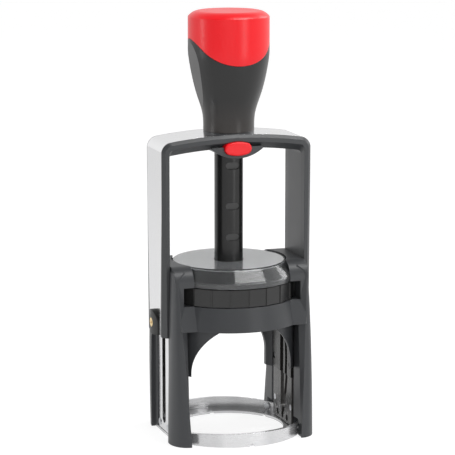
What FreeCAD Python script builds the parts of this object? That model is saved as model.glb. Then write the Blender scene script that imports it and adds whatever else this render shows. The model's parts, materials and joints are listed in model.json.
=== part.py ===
"""Self-inking rotary date stamp: a sprung handle bow that turns a round die over as it is pressed.

Millimetres, +Z up. The origin is the centre of the base ring, on the paper plane. X runs across
the bow, and the lock button faces -Y. Everything is drawn at rest, with the die up under the pad.
"""

import FreeCAD
import Part

import math
import os

from FreeCAD import Vector

# Stroke: the pivot pin starts high in the housing and ends one die height above the paper.
PIVOT_Z = 52.5
DIE_HEIGHT = 10.0
TRAVEL = PIVOT_Z - DIE_HEIGHT
LOCK_TRAVEL = 1.5

# Bow and handle
BOW_HALF = 35.0
BOW_INNER = 31.55
BOW_DEPTH = 12.9
BOW_BOTTOM = 47.4
BOW_TOP = 137.9
BOW_SHOULDER_Z = 135.7
BOW_SHOULDER_X = 31.0
BOW_BEVEL = 1.4
OPENING_TOP = 131.5
OPENING_SHOULDER_Z = 129.3
FLARE_START_Y = 8.6
FLARE_SIDE = 0.15
FLARE_TOP = 3.1
STRAP_THICKNESS = 1.2
HUB_HALF = 11.8
HUB_BOTTOM = 127.3
COLLAR_RADIUS = 11.4
GRIP_BOTTOM = 138.5
GRIP_NECK_RADIUS = 11.5
GRIP_TOP_RADIUS = 18.3
GRIP_SPIGOT_RADIUS = 12.0
GRIP_WAIST = ((11.5, 138.5), (11.8, 145.7), (14.9, 156.1), (18.1, 171.3), (18.3, 180.5))
SIDE_FLAT = ((18.8, 180.5), (17.9, 177.0), (16.5, 170.5), (15.1, 162.5), (13.6, 154.5), (11.75, 144.0))
CAP_TOP = 192.3
CAP_FACE_RADIUS = 13.5
CAP_WALL_TOP = 189.7
CAP_SEAM = ((0, 180.2), (2.4, 179.8), (6.8, 178.0), (10.5, 175.1), (14.4, 171.7), (18.2, 168.6))
HANDLE_BORE = 7.2
BUTTON_HALF_WIDTH = 6.3
BUTTON_HALF_HEIGHT = 3.15
BUTTON_Z = 131.8
BUTTON_FACE_Y = -14.6
LATCH_Z = 132.9
LATCH_HALF = 2.4

# Guide column and return spring
COLUMN_RADIUS = 6.5
COLUMN_BORE = 4.9
COLUMN_TOP = 138.0
COLUMN_FOOT_RADIUS = 9.5
NOTCH_WIDTH = 6.5
NOTCH_HEIGHT = 3.2
NOTCH_HEIGHTS = (90.4, 104.6, 123.0, LATCH_Z)
SPRING_RADIUS = 3.8
SPRING_WIRE = 0.6
SPRING_BOTTOM = 75.2
SPRING_TOP = 184.0
SPRING_TURNS = 20

# Housing
SKIRT_BOTTOM = 52.2
SKIRT_TOP = 62.7
SKIRT_BOTTOM_RADIUS = 33.1
SKIRT_TOP_RADIUS = 30.2
LINING_RADIUS = 28.4
LINING_WALL = 1.6
LINING_FRONT_FOOT = 30.3
LINING_REAR_FOOT = 24.2
ARCH_RADIUS = 23.6
ARCH_Z = 31.9
COLUMN_EDGE_TOP = 78.5
LEG_INNER_X = 26.3
BOW_CHANNEL_X = 31.4
BOW_CHANNEL_Y = 13.2
PANEL_X = 22.6
PANEL_Y = 20.1
PANEL_FOOT_Y = 24.3
HOOD_TOP = 80.0
HOOD_ROUNDING = 8.0
DECK_BOTTOM = 71.3
DECK_TOP = 78.3
DECK_RADIUS = 28.7
DECK_HALF_X = 27.4
FOOT_POCKET_TOP = 7.2
FOOT_POCKET_RADIUS = 33.9

# Side plates and cam plates
CAM_INNER_X = 26.2
CAM_OUTER_X = 29.3
CAM_HALF_Y = 12.4
CAM_BOTTOM = 1.6
CAM_TOP = 61.8
SIDE_PLATE_X = 29.4
SIDE_PLATE_OUTER_X = 31.0
SIDE_PLATE_HALF_Y = 8.8
SIDE_PLATE_TOP = 63.5
CAM_LAND = 0.4
CAM_LAND_BOTTOM = 24.5
CAM_SLOT_HALF = 2.25
SIDE_SLOT_HALF = 2.6
SIDE_SLOT_BOTTOM = 5.0
FOLLOWER_OFFSET = 6.0
FOLLOWER_RADIUS = 1.3
GROOVE_RADIUS = 1.4
GROOVE_FLOOR_X = 28.3

# Base ring
RING_RADIUS = 33.6
RING_WALL = 1.6
RING_FLANGE_RADIUS = 25.2
RING_FLANGE = 1.2
RING_HALF_X = 31.0
RING_CROWN = 6.2

# Ink cartridge and index window
CARTRIDGE_RADIUS = 30.1
CARTRIDGE_HALF_X = 27.2
CARTRIDGE_BOTTOM = 62.95
CARTRIDGE_TOP = 70.9
CARTRIDGE_FACETS = 22
PAD_RADIUS = 24.2
PAD_FACE_Z = 65.9
PAD_TOP = 69.4
WINDOW_RADIUS = 30.0
WINDOW_WALL_TOP = 73.6
WINDOW_FACE_RADIUS = 25.7
WINDOW_TOP = 79.5
LABEL_RADIUS = 25.2
LABEL_THICKNESS = 0.3

# Die carrier, measured up from the pivot axis while the die is up
DIE_RADIUS = 22.5
CARRIER_PLATE = (5.6, 7.6)
DIE_PLATE_TOP = 8.6
TEXT_FLOOR = 9.4
CHEEK_X = (23.2, 25.7)
CHEEK_HALF_Y = 8.0
CHEEK_RADIUS = 5.0
PIN_RADIUS = 2.1
PIN_BORE = 2.16

# Date bands
BAND_PITCH = 5.0
BAND_WIDTH = 4.2
BAND_THICKNESS = 0.8
BAND_NAMES = ("day_tens", "day_units", "month", "year")
NOSE_Z = 7.2
NOSE_RADIUS = 1.75
AXLE_Z = -1.2
AXLE_RADIUS = 1.0
WHEEL_HUB_RADIUS = 3.9
WHEEL_RIM_RADIUS = 5.3
WHEEL_RIM_WIDTH = 0.6
BRACKET_X = (10.5, 11.7)


def box(x0, x1, y0, y1, z0, z1):
    return Part.makeBox(x1 - x0, y1 - y0, z1 - z0, Vector(x0, y0, z0))


def rod_z(radius, z0, z1, x=0.0, y=0.0):
    return Part.makeCylinder(radius, z1 - z0, Vector(x, y, z0))


def rod_x(radius, x0, x1, y, z):
    return Part.makeCylinder(radius, x1 - x0, Vector(x0, y, z), Vector(1, 0, 0))


def rod_y(radius, y0, y1, x, z):
    return Part.makeCylinder(radius, y1 - y0, Vector(x, y0, z), Vector(0, 1, 0))


def tube_z(outer, inner, z0, z1):
    return rod_z(outer, z0, z1).cut(rod_z(inner, z0 - 1, z1 + 1))


def union(shapes):
    first, *rest = shapes
    return first.fuse(rest).removeSplitter() if rest else first


def line(a, b):
    return Part.makeLine(Vector(*a), Vector(*b))


def arc(a, b, c):
    return Part.Arc(Vector(*a), Vector(*b), Vector(*c)).toShape()


def solid_from(edges, direction):
    return Part.Face(Part.Wire(edges)).extrude(Vector(*direction))


def polygon_prism(points, direction):
    corners = [Vector(*p) for p in points]
    return Part.Face(Part.makePolygon(corners + corners[:1])).extrude(Vector(*direction))


def revolve(edges):
    """A solid of revolution about Z from a closed outline in the XZ half plane."""
    return Part.Face(Part.Wire(edges)).revolve(Vector(0, 0, 0), Vector(0, 0, 1), 360)


def revolve_points(points):
    """A solid of revolution about Z from straight (radius, height) stretches."""
    corners = [Vector(r, 0, z) for r, z in points]
    return Part.Face(Part.makePolygon(corners + corners[:1])).revolve(
        Vector(0, 0, 0), Vector(0, 0, 1), 360
    )


def mirror_x(shape):
    return shape.mirror(Vector(0, 0, 0), Vector(1, 0, 0))


def mirror_y(shape):
    return shape.mirror(Vector(0, 0, 0), Vector(0, 1, 0))


def four_corners(shape):
    """The shape in its +X, +Y quadrant and its mirror images in the other three."""
    pair = [shape, mirror_y(shape)]
    return pair + [mirror_x(s) for s in pair]


def both_sides(shape):
    return [shape, mirror_x(shape)]


def obround_y(width, height, y0, y1, z):
    """A long button shape seen along Y, with round ends."""
    end = (width - height) / 2
    radius = height / 2
    middle = box(-end, end, y0, y1, z - radius, z + radius)
    return union([middle, rod_y(radius, y0, y1, -end, z), rod_y(radius, y0, y1, end, z)])


def belt_outline(z_low, r_low, z_high, r_high, x0, x1):
    """A belt's filled side view: two circles in a YZ plane and their outer tangents."""
    lean = math.asin((r_low - r_high) / (z_high - z_low))
    low_y, low_z = r_low * math.cos(lean), z_low + r_low * math.sin(lean)
    high_y, high_z = r_high * math.cos(lean), z_high + r_high * math.sin(lean)
    edges = [
        arc((x0, -low_y, low_z), (x0, 0, z_low - r_low), (x0, low_y, low_z)),
        line((x0, low_y, low_z), (x0, high_y, high_z)),
        arc((x0, high_y, high_z), (x0, 0, z_high + r_high), (x0, -high_y, high_z)),
        line((x0, -high_y, high_z), (x0, -low_y, low_z)),
    ]
    return solid_from(edges, (x1 - x0, 0, 0))


# ---------------------------------------------------------------- housing


def bow_channel():
    """The space the bow's side arms slide in, on both sides."""
    top = 200.0
    outer = box(BOW_CHANNEL_X, 60, -BOW_CHANNEL_Y, BOW_CHANNEL_Y, -1, top)
    return both_sides(outer)


def plate_pockets():
    """Pockets for the cam plates, and for the side plates behind them."""
    cam_y = CAM_HALF_Y + 0.1
    cam = box(LEG_INNER_X - 3.0, SIDE_PLATE_X - 0.05, -cam_y, cam_y, -1, CAM_TOP + 0.1)
    plate_y = SIDE_PLATE_HALF_Y + 0.1
    side = box(SIDE_PLATE_X - 1, 40, -plate_y, plate_y, -1, SIDE_PLATE_TOP + 0.1)
    return both_sides(cam) + both_sides(side)


def leg_section(z, outline):
    """One level cut through a leg: a smooth outer bead, closed by straight inner faces."""
    points = [Vector(x, y, z) for x, y in outline]
    bead = Part.BSplineCurve()
    bead.interpolate(points)
    start, end = points[0], points[-1]
    inner_start = Vector(LEG_INNER_X, start.y, z)
    edges = [bead.toShape(), Part.makeLine(end, Vector(LEG_INNER_X, end.y - 2.0, z))]
    edges += [Part.makeLine(Vector(LEG_INNER_X, end.y - 2.0, z), inner_start)]
    edges += [Part.makeLine(inner_start, start)]
    return Part.Wire(edges)


def is_column_rim(edge):
    """True for the curved outer edge at the top of a leg's bead."""
    at_top = all(abs(v.Z - COLUMN_EDGE_TOP) < 0.01 for v in edge.Vertexes)
    return at_top and edge.Curve.TypeId == "Part::GeomBSplineCurve"


def leg(front):
    """One leg in the +X, +Y quadrant: a front leg stands further out than a rear one."""
    edge = BOW_CHANNEL_Y
    top = [(31.7, edge), (31.9, 15.6), (31.6, 17.9), (30.8, 19.7)]
    if front:
        middle = [(32.5, edge), (32.9, 18.0), (31.8, 21.9), (28.7, 23.5)]
        foot = [(33.0, edge), (33.5, 20.4), (30.9, 25.0), (25.9, 26.9)]
    else:
        middle = [(32.9, edge), (32.5, 17.4), (31.2, 21.4), (28.3, 23.3)]
        foot = [(33.0, edge), (32.0, 18.6), (30.0, 22.8), (25.9, 25.6)]
    sections = [leg_section(0, foot), leg_section(46.0, middle), leg_section(COLUMN_EDGE_TOP, top)]
    bead = Part.makeLoft(sections, True, False)
    rim = [e for e in bead.Edges if is_column_rim(e)]
    bead = bead.makeFillet(1.3, rim)
    lip = box(LEG_INNER_X, BOW_CHANNEL_X, SIDE_PLATE_HALF_Y, edge + 0.5, 0, COLUMN_EDGE_TOP)
    hollow = rod_z(30.3, -1, 100).cut(box(29.3, 40, 0, CAM_HALF_Y + 1.2, -2, 101))
    return union([bead, lip]).cut([hollow, beyond_hood(0.5)])


def legs():
    rear, front = leg(False), mirror_y(leg(True))
    return both_sides(rear) + both_sides(front)


def beyond_hood(grow):
    """Everything above the hood's flat top and in front of its rounded shoulder, on the +Y side."""
    bend_y = PANEL_Y + grow - HOOD_ROUNDING
    bend_z = HOOD_TOP - HOOD_ROUNDING
    reach = HOOD_ROUNDING * math.sqrt(0.5)
    far, above = 40, HOOD_TOP + 20
    edges = [
        arc((0, bend_y, HOOD_TOP), (0, bend_y + reach, bend_z + reach), (0, PANEL_Y + grow, bend_z)),
        line((0, PANEL_Y + grow, bend_z), (0, far, bend_z)),
        line((0, far, bend_z), (0, far, above)),
        line((0, far, above), (0, -1, above)),
        line((0, -1, above), (0, -1, HOOD_TOP)),
        line((0, -1, HOOD_TOP), (0, bend_y, HOOD_TOP)),
    ]
    return solid_from(edges, (far, 0, 0))


def panel():
    """The panel beside the cartridge and the rounded hood above it, in one +X, +Y quadrant."""
    profile = [(0, SKIRT_BOTTOM), (PANEL_FOOT_Y, SKIRT_BOTTOM), (PANEL_Y, SKIRT_TOP)]
    profile += [(PANEL_Y, HOOD_TOP + 1), (0, HOOD_TOP + 1)]
    block = polygon_prism([(PANEL_X, y, z) for y, z in profile], (BOW_CHANNEL_X - PANEL_X, 0, 0))
    inner_corner, outer_corner = (28.7, PANEL_FOOT_Y), (31.4, PANEL_Y)
    beyond_leg = [inner_corner, outer_corner, (40, PANEL_Y), (40, 40), (inner_corner[0], 40)]
    beyond_leg = polygon_prism([(x, y, SKIRT_BOTTOM - 1) for x, y in beyond_leg], (0, 0, 12))
    die_room = rod_z(LINING_RADIUS, SKIRT_BOTTOM - 1, SKIRT_TOP + 0.1)
    face_room = rod_z(WINDOW_FACE_RADIUS + 0.6, DECK_TOP, HOOD_TOP + 1)
    return block.cut([beyond_hood(0), beyond_leg, die_room, face_room])


def skirt():
    outer = revolve_points(
        [
            (LINING_RADIUS, SKIRT_BOTTOM),
            (SKIRT_BOTTOM_RADIUS, SKIRT_BOTTOM),
            (SKIRT_TOP_RADIUS, SKIRT_TOP),
            (LINING_RADIUS, SKIRT_TOP),
        ]
    )
    return outer.common(box(-BOW_CHANNEL_X, BOW_CHANNEL_X, -50, 50, 0, 100))


def lining():
    """The thin inner cylinder below the skirt, with an arch front and back."""
    shell = tube_z(LINING_RADIUS + LINING_WALL, LINING_RADIUS, LINING_REAR_FOOT, SKIRT_BOTTOM + 1)
    arch = rod_y(ARCH_RADIUS, -60, 60, 0, ARCH_Z)
    below = box(-ARCH_RADIUS, ARCH_RADIUS, -60, 60, 0, ARCH_Z)
    front_foot = box(-60, 60, -60, 0, 0, LINING_FRONT_FOOT)
    sides = box(-LEG_INNER_X - 1, LEG_INNER_X + 1, -60, 60, 0, 100)
    return shell.cut([arch, below, front_foot]).common(sides)


def deck():
    """The deck under the index window, bored and counterbored for the guide column."""
    body = revolve_points(
        [
            (0, DECK_BOTTOM),
            (DECK_RADIUS, DECK_BOTTOM),
            (DECK_RADIUS, WINDOW_WALL_TOP - 0.6),
            (WINDOW_FACE_RADIUS - 0.6, DECK_TOP),
            (0, DECK_TOP),
        ]
    )
    body = body.common(box(-DECK_HALF_X - 1, DECK_HALF_X + 1, -50, 50, 0, 100))
    bore = rod_z(COLUMN_RADIUS + 0.02, 60, 100)
    foot = rod_z(COLUMN_FOOT_RADIUS + 0.1, 60, 73.6)
    return body.cut([bore, foot] + column_screw_holes(0.02))


def column_screw_holes(extra):
    return [
        rod_z(0.9 + extra, 70, 77.0 + extra, 8.0 * math.cos(a), 8.0 * math.sin(a))
        for a in (math.radians(90 + 120 * i) for i in range(3))
    ]


def base_housing():
    parts = legs()
    parts += four_corners(panel())
    parts += [skirt(), lining(), deck()]
    body = union(parts)
    foot_pocket = rod_z(FOOT_POCKET_RADIUS, -1, FOOT_POCKET_TOP)
    foot_pocket = foot_pocket.cut(box(-50, 50, -CAM_HALF_Y - 1.2, CAM_HALF_Y + 1.2, -2, 10))
    under_lip = box(-40, 40, -CAM_HALF_Y - 1.3, CAM_HALF_Y + 1.3, -1, CAM_BOTTOM)
    front_opening = box(-27.5, 27.5, -40, 10, SKIRT_TOP + 0.1, DECK_BOTTOM)
    cavity = rod_z(CARTRIDGE_RADIUS + 0.3, SKIRT_TOP + 0.1, DECK_BOTTOM)
    cavity = cavity.common(box(-27.5, 27.5, -50, 50, 0, 100))
    cuts = bow_channel() + plate_pockets()
    cuts += [foot_pocket, under_lip, front_opening, cavity]
    cuts += ring_screw_shanks(0.02) + cam_screw_shanks(0.02)
    return body.cut(cuts)


# ---------------------------------------------------------------- base ring and plates


def ring_screw_axis(angle, r0, r1, radius):
    direction = Vector(math.cos(angle), math.sin(angle), 0)
    return Part.makeCylinder(radius, r1 - r0, direction * r0 + Vector(0, 0, 3.4), direction)


def ring_screw_angles():
    return [math.radians(a) for a in (37, 143, 217, 323)]


def ring_screw_shanks(extra):
    return [ring_screw_axis(a, 31.0, 36.6 + extra, 0.8 + extra) for a in ring_screw_angles()]


def ring_screws():
    heads = [ring_screw_axis(a, 31.3, 31.95, 1.5) for a in ring_screw_angles()]
    shanks = [ring_screw_axis(a, 31.5, 36.6, 0.8) for a in ring_screw_angles()]
    return Part.makeCompound([union([h, s]) for h, s in zip(heads, shanks)])


def base_ring():
    """The metal ring on the paper: a crowned wall, a floor flange and three sight notches."""
    inner = RING_RADIUS - RING_WALL
    wall = tube_z(RING_RADIUS, inner, 0, RING_CROWN)
    crown_radius = 380.0
    crown = rod_y(crown_radius, -50, 50, 0, RING_CROWN - crown_radius)
    wall = wall.common(crown)
    wall = wall.cut(box(-50, 50, -BOW_CHANNEL_Y - 0.4, BOW_CHANNEL_Y + 0.4, RING_FLANGE, 20))
    flange_ring = tube_z(RING_RADIUS, RING_FLANGE_RADIUS, 0, RING_FLANGE)
    clip = box(-RING_HALF_X, RING_HALF_X, -50, 50, -1, 20)
    body = union([wall, flange_ring]).common(clip)
    notches = [ring_notch(angle, RING_RADIUS) for angle in (270, 90)]
    notches += [ring_notch(angle, RING_FLANGE_RADIUS) for angle in (90, 31, 149)]
    return body.cut(notches + ring_screw_shanks(0.02))


def ring_notch(angle, radius):
    """A small sight notch in the ring's lower edge, at an angle from +X."""
    reach = 1.7
    corners = [(radius - reach, -1.2, -0.01), (radius - reach, 1.2, -0.01), (radius - reach, 0, 1.6)]
    notch = polygon_prism(corners, (2 * reach, 0, 0))
    notch.rotate(Vector(0, 0, 0), Vector(0, 0, 1), angle)
    return notch


def slot_cutter(x0, x1, bottom, half):
    """A long upright slot with round ends, up to just above the resting pivot."""
    high = PIVOT_Z + 0.3
    low = bottom + half
    ends = [rod_x(half, x0, x1, 0, low), rod_x(half, x0, x1, 0, high)]
    return union([box(x0, x1, -half, half, low, high)] + ends)


def groove_point(turn):
    """The follower's centre when the die has turned by this angle."""
    z = PIVOT_Z - TRAVEL * turn / math.pi + FOLLOWER_OFFSET * math.cos(turn)
    return Vector(0, -FOLLOWER_OFFSET * math.sin(turn), z)


def cam_groove(side):
    """The curved groove that turns the carrier, swept as overlapping short slots."""
    steps = 36
    points = [groove_point(math.pi * i / steps) for i in range(steps + 1)]
    x0 = CAM_INNER_X - 1
    offsets = [(p.y, p.z) for p in points]
    pieces = []
    for (ya, za), (yb, zb) in zip(offsets, offsets[1:]):
        length = math.hypot(yb - ya, zb - za)
        ny, nz = (zb - za) / length * GROOVE_RADIUS, -(yb - ya) / length * GROOVE_RADIUS
        corners = [
            (x0, ya + ny, za + nz),
            (x0, yb + ny, zb + nz),
            (x0, yb - ny, zb - nz),
            (x0, ya - ny, za - nz),
        ]
        pieces.append(polygon_prism(corners, (GROOVE_FLOOR_X - x0, 0, 0)))
    pieces += [rod_x(GROOVE_RADIUS, x0, GROOVE_FLOOR_X, y, z) for y, z in offsets]
    groove = union(pieces)
    return groove if side > 0 else mirror_x(groove)


def cam_screw_places():
    return [(y, z) for y in (-10.7, 10.7) for z in (10.0, 30.0, 48.0)]


def cam_screw_shanks(extra):
    shanks = [rod_x(0.8 + extra, CAM_INNER_X, 31.1, y, z) for y, z in cam_screw_places()]
    return shanks + [mirror_x(s) for s in shanks]


def cam_screw_heads(extra):
    heads = [rod_x(1.5 + extra, 25.0, CAM_INNER_X + 1.0 + extra, y, z) for y, z in cam_screw_places()]
    return heads + [mirror_x(h) for h in heads]


def cam_screws():
    screws = []
    for y, z in cam_screw_places():
        head = rod_x(1.5, CAM_INNER_X + 0.1, CAM_INNER_X + 1.0, y, z)
        shank = rod_x(0.8, CAM_INNER_X + 0.5, 31.1, y, z)
        screws.append(union([head, shank]))
    return Part.makeCompound(screws + [mirror_x(s) for s in screws])


def rivet_places():
    return [(y, z) for y in (-6.2, 6.2) for z in (4.0, 59.0)]


def plate_rivets():
    rivets = []
    for y, z in rivet_places():
        shank = rod_x(0.9, CAM_INNER_X + 1.6, SIDE_PLATE_OUTER_X + 0.1, y, z)
        outer = rod_x(1.5, SIDE_PLATE_OUTER_X, SIDE_PLATE_OUTER_X + 0.35, y, z)
        inner = rod_x(1.5, CAM_INNER_X + 0.8, CAM_INNER_X + 1.6, y, z)
        rivets.append(union([shank, outer, inner]))
    return Part.makeCompound(rivets + [mirror_x(r) for r in rivets])


def rivet_holes():
    holes = []
    for y, z in rivet_places():
        holes.append(rod_x(0.92, CAM_INNER_X - 1, SIDE_PLATE_OUTER_X + 1, y, z))
        holes.append(rod_x(1.52, CAM_INNER_X - 1, CAM_INNER_X + 1.6, y, z))
    return holes + [mirror_x(h) for h in holes]


def cam_plate(side):
    """A cam plate: an upright slot for the pivot pin and a curved groove for the follower."""
    body = box(CAM_INNER_X, CAM_OUTER_X, -CAM_HALF_Y, CAM_HALF_Y, CAM_BOTTOM, CAM_TOP)
    land_x = CAM_INNER_X - CAM_LAND
    land = box(land_x, CAM_INNER_X + 1, -CAM_HALF_Y, CAM_HALF_Y, CAM_LAND_BOTTOM, CAM_TOP)
    slot_bottom = PIVOT_Z - TRAVEL - CAM_SLOT_HALF - 0.1
    slot = slot_cutter(CAM_INNER_X - 1, CAM_OUTER_X + 1, slot_bottom, CAM_SLOT_HALF)
    body = union([body, land])
    if side < 0:
        body, slot = mirror_x(body), mirror_x(slot)
    cuts = [slot, cam_groove(side)] + cam_screw_shanks(0.02) + cam_screw_heads(0.02) + rivet_holes()
    return body.cut(cuts)


def side_plate(side):
    half_y = SIDE_PLATE_HALF_Y
    body = box(SIDE_PLATE_X, SIDE_PLATE_OUTER_X, -half_y, half_y, CAM_BOTTOM, SIDE_PLATE_TOP)
    slot = slot_cutter(SIDE_PLATE_X - 1, SIDE_PLATE_OUTER_X + 1, SIDE_SLOT_BOTTOM, SIDE_SLOT_HALF)
    body = body.cut([slot] + [rod_x(0.92, 20, 40, y, z) for y, z in rivet_places()])
    return body if side > 0 else mirror_x(body)


# ---------------------------------------------------------------- column, window, cartridge


def guide_column():
    tube = rod_z(COLUMN_RADIUS, DECK_BOTTOM + 0.1, COLUMN_TOP)
    foot = rod_z(COLUMN_FOOT_RADIUS, DECK_BOTTOM + 0.1, 73.5)
    body = union([tube, foot]).cut(rod_z(COLUMN_BORE, SPRING_BOTTOM - 0.1, COLUMN_TOP + 1))
    floor_y = -COLUMN_RADIUS + LOCK_TRAVEL - 0.15
    notches = [obround_y(NOTCH_WIDTH, NOTCH_HEIGHT, -20, floor_y, z) for z in NOTCH_HEIGHTS]
    heads = [
        rod_z(1.7, 70, 72.5, 8.0 * math.cos(a), 8.0 * math.sin(a))
        for a in (math.radians(90 + 120 * i) for i in range(3))
    ]
    return body.cut(notches + heads + column_screw_holes(0.02))


def column_screws():
    screws = []
    for i in range(3):
        a = math.radians(90 + 120 * i)
        x, y = 8.0 * math.cos(a), 8.0 * math.sin(a)
        screws.append(union([rod_z(1.6, DECK_BOTTOM + 0.2, 72.4, x, y), rod_z(0.9, 72.0, 76.9, x, y)]))
    return Part.makeCompound(screws)


def index_label():
    low = DECK_TOP + 0.02
    return tube_z(LABEL_RADIUS, 7.4, low, low + LABEL_THICKNESS)


def index_window():
    """The clear cover: a flat round face, and a bevel and short wall between the panels."""
    label_top = DECK_TOP + LABEL_THICKNESS + 0.05
    outer = [(6.7, WINDOW_TOP), (WINDOW_FACE_RADIUS - 0.5, WINDOW_TOP)]
    outer += [(WINDOW_FACE_RADIUS, WINDOW_TOP - 0.4), (WINDOW_RADIUS, WINDOW_WALL_TOP + 0.4)]
    outer += [(WINDOW_RADIUS, DECK_BOTTOM), (DECK_RADIUS + 0.1, DECK_BOTTOM)]
    inner = [(DECK_RADIUS + 0.1, WINDOW_WALL_TOP - 0.5), (WINDOW_FACE_RADIUS - 0.4, label_top)]
    inner += [(6.7, label_top)]
    shell = revolve_points(outer + inner)
    beside_panel = box(PANEL_X - 0.2, 50, -50, 50, 0, DECK_TOP + 0.3)
    return shell.cut(both_sides(beside_panel))


def pad_cartridge():
    """The pull-out ink tray: a faceted rim with thin grip ribs, open below around the pad."""
    apothem_points = []
    for i in range(CARTRIDGE_FACETS):
        a = math.radians(-90 + 360 * i / CARTRIDGE_FACETS)
        r = CARTRIDGE_RADIUS - 0.25
        apothem_points.append((r * math.cos(a), r * math.sin(a), CARTRIDGE_BOTTOM))
    height = CARTRIDGE_TOP - CARTRIDGE_BOTTOM
    body = polygon_prism(apothem_points, (0, 0, height))
    rib = box(CARTRIDGE_RADIUS - 1.0, CARTRIDGE_RADIUS + 0.1, -0.3, 0.3, CARTRIDGE_BOTTOM, CARTRIDGE_TOP)
    ribs = []
    for i in range(CARTRIDGE_FACETS):
        copy = rib.copy()
        copy.rotate(Vector(0, 0, 0), Vector(0, 0, 1), -90 + 360 * i / CARTRIDGE_FACETS)
        ribs.append(copy)
    body = union([body] + ribs)
    body = body.cut(rod_z(PAD_RADIUS + 0.1, CARTRIDGE_BOTTOM - 1, PAD_TOP + 0.1))
    return body.common(box(-CARTRIDGE_HALF_X, CARTRIDGE_HALF_X, -50, 50, 0, 100))


def ink_pad():
    return rod_z(PAD_RADIUS, PAD_FACE_Z, PAD_TOP)


# ---------------------------------------------------------------- bow and handle


def bow_wire(inset, y):
    """The bow's outside line at a depth y, grown inwards by an inset."""
    half = BOW_HALF - inset
    corner = 5.0 - inset
    top = BOW_TOP - inset
    side_top = BOW_SHOULDER_Z - inset - 4.4
    bend = 0.2929 * corner
    shoulder_x = BOW_SHOULDER_X - 0.6
    shoulder_z = BOW_SHOULDER_Z - inset
    edges = [
        line((-half, y, BOW_BOTTOM), (-half, y, side_top)),
        arc((-half, y, side_top), (-half + bend, y, shoulder_z - bend), (-shoulder_x, y, shoulder_z)),
        arc((-shoulder_x, y, shoulder_z), (0, y, top), (shoulder_x, y, shoulder_z)),
        arc((shoulder_x, y, shoulder_z), (half - bend, y, shoulder_z - bend), (half, y, side_top)),
        line((half, y, side_top), (half, y, BOW_BOTTOM)),
        line((half, y, BOW_BOTTOM), (-half, y, BOW_BOTTOM)),
    ]
    return Part.Wire(edges)


def bow_outline(inset, y0, y1):
    return Part.Face(bow_wire(inset, y0)).extrude(Vector(0, y1 - y0, 0))


def bow_blank():
    """The solid arch before its opening, with its front and back outer edges bevelled."""
    flat = BOW_DEPTH - BOW_BEVEL
    parts = [bow_outline(0, -flat, flat)]
    for side in (-1, 1):
        wires = [bow_wire(0, side * flat), bow_wire(BOW_BEVEL, side * BOW_DEPTH)]
        parts.append(Part.makeLoft(wires, True, True))
    return union(parts)


def opening_wire(y, side_grow, top_grow):
    """The line round the bow's opening at a depth y: straight sides and a shallow arched top."""
    half = BOW_INNER + side_grow
    shoulder_z = OPENING_SHOULDER_Z + top_grow
    corner, bend = 2.0, 0.6
    corner_x = half - corner
    corner_z = shoulder_z - corner
    edges = [
        line((-half, y, 0), (-half, y, corner_z)),
        arc((-half, y, corner_z), (-half + bend, y, shoulder_z - bend), (-corner_x, y, shoulder_z)),
        arc((-corner_x, y, shoulder_z), (0, y, OPENING_TOP + top_grow), (corner_x, y, shoulder_z)),
        arc((corner_x, y, shoulder_z), (half - bend, y, shoulder_z - bend), (half, y, corner_z)),
        line((half, y, corner_z), (half, y, 0)),
        line((half, y, 0), (-half, y, 0)),
    ]
    return Part.Wire(edges)


def bow_opening():
    """The bow's opening, flared towards its front and back faces."""
    straight = Part.Face(opening_wire(-20, 0, 0)).extrude(Vector(0, 40, 0))
    cuts = [straight]
    for side in (-1, 1):
        narrow = opening_wire(side * FLARE_START_Y, 0, 0)
        wide = opening_wire(side * (BOW_DEPTH + 0.01), FLARE_SIDE, FLARE_TOP)
        cuts.append(Part.makeLoft([narrow, wide], True, True))
    return cuts


def arm_bevels():
    """Wedges that thin the arms' outer edges, more and more towards the bottom."""
    wedges = []
    for sy in (-1, 1):
        sections = []
        for z, face_y, side_x in ((BOW_BOTTOM - 1, 10.3, 33.2), (128.0, 11.6, 33.7)):
            far = BOW_DEPTH + 3
            slope = (BOW_HALF - side_x) / (BOW_DEPTH - face_y)
            start = (BOW_HALF + slope * 1.0, sy * (face_y - 1.0), z)
            end = (BOW_HALF - slope * (far - face_y), sy * far, z)
            corner = (BOW_HALF + 6, sy * far, z)
            corners = [Vector(*p) for p in (start, end, corner)]
            sections.append(Part.makePolygon(corners + corners[:1]))
        wedges.append(Part.makeLoft(sections, True, True))
    return wedges + [mirror_x(w) for w in wedges]


def strap_band(gap):
    """The side view of the metal straps: wide over the top and narrower towards the pivot."""
    half = [(8.3 + gap, BOW_BOTTOM - 1), (11.0 + gap, 104.0), (11.2 + gap, 150.0)]
    outline = [(-60, y, z) for y, z in half] + [(-60, -y, z) for y, z in reversed(half)]
    return polygon_prism(outline, (120, 0, 0))


def boss_outline(x0, x1, grow):
    """The bullet outline of the pivot boss, flat at the bow's end and round above."""
    radius = 5.6 + grow
    centre_z = PIVOT_Z + 0.4
    edges = [
        line((x0, -radius, BOW_BOTTOM), (x0, -radius, centre_z)),
        arc((x0, -radius, centre_z), (x0, 0, centre_z + radius), (x0, radius, centre_z)),
        line((x0, radius, centre_z), (x0, radius, BOW_BOTTOM)),
        line((x0, radius, BOW_BOTTOM), (x0, -radius, BOW_BOTTOM)),
    ]
    return solid_from(edges, (x1 - x0, 0, 0))


def hub():
    """The bulge under the top bar that slides on the guide column."""
    sagitta = OPENING_TOP - HUB_BOTTOM
    radius = (HUB_HALF**2 + sagitta**2) / (2 * sagitta)
    disc = rod_y(radius, -BOW_DEPTH, BOW_DEPTH, 0, HUB_BOTTOM + radius)
    return disc.common(box(-HUB_HALF, HUB_HALF, -20, 20, HUB_BOTTOM, OPENING_TOP + 1.0))


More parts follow.
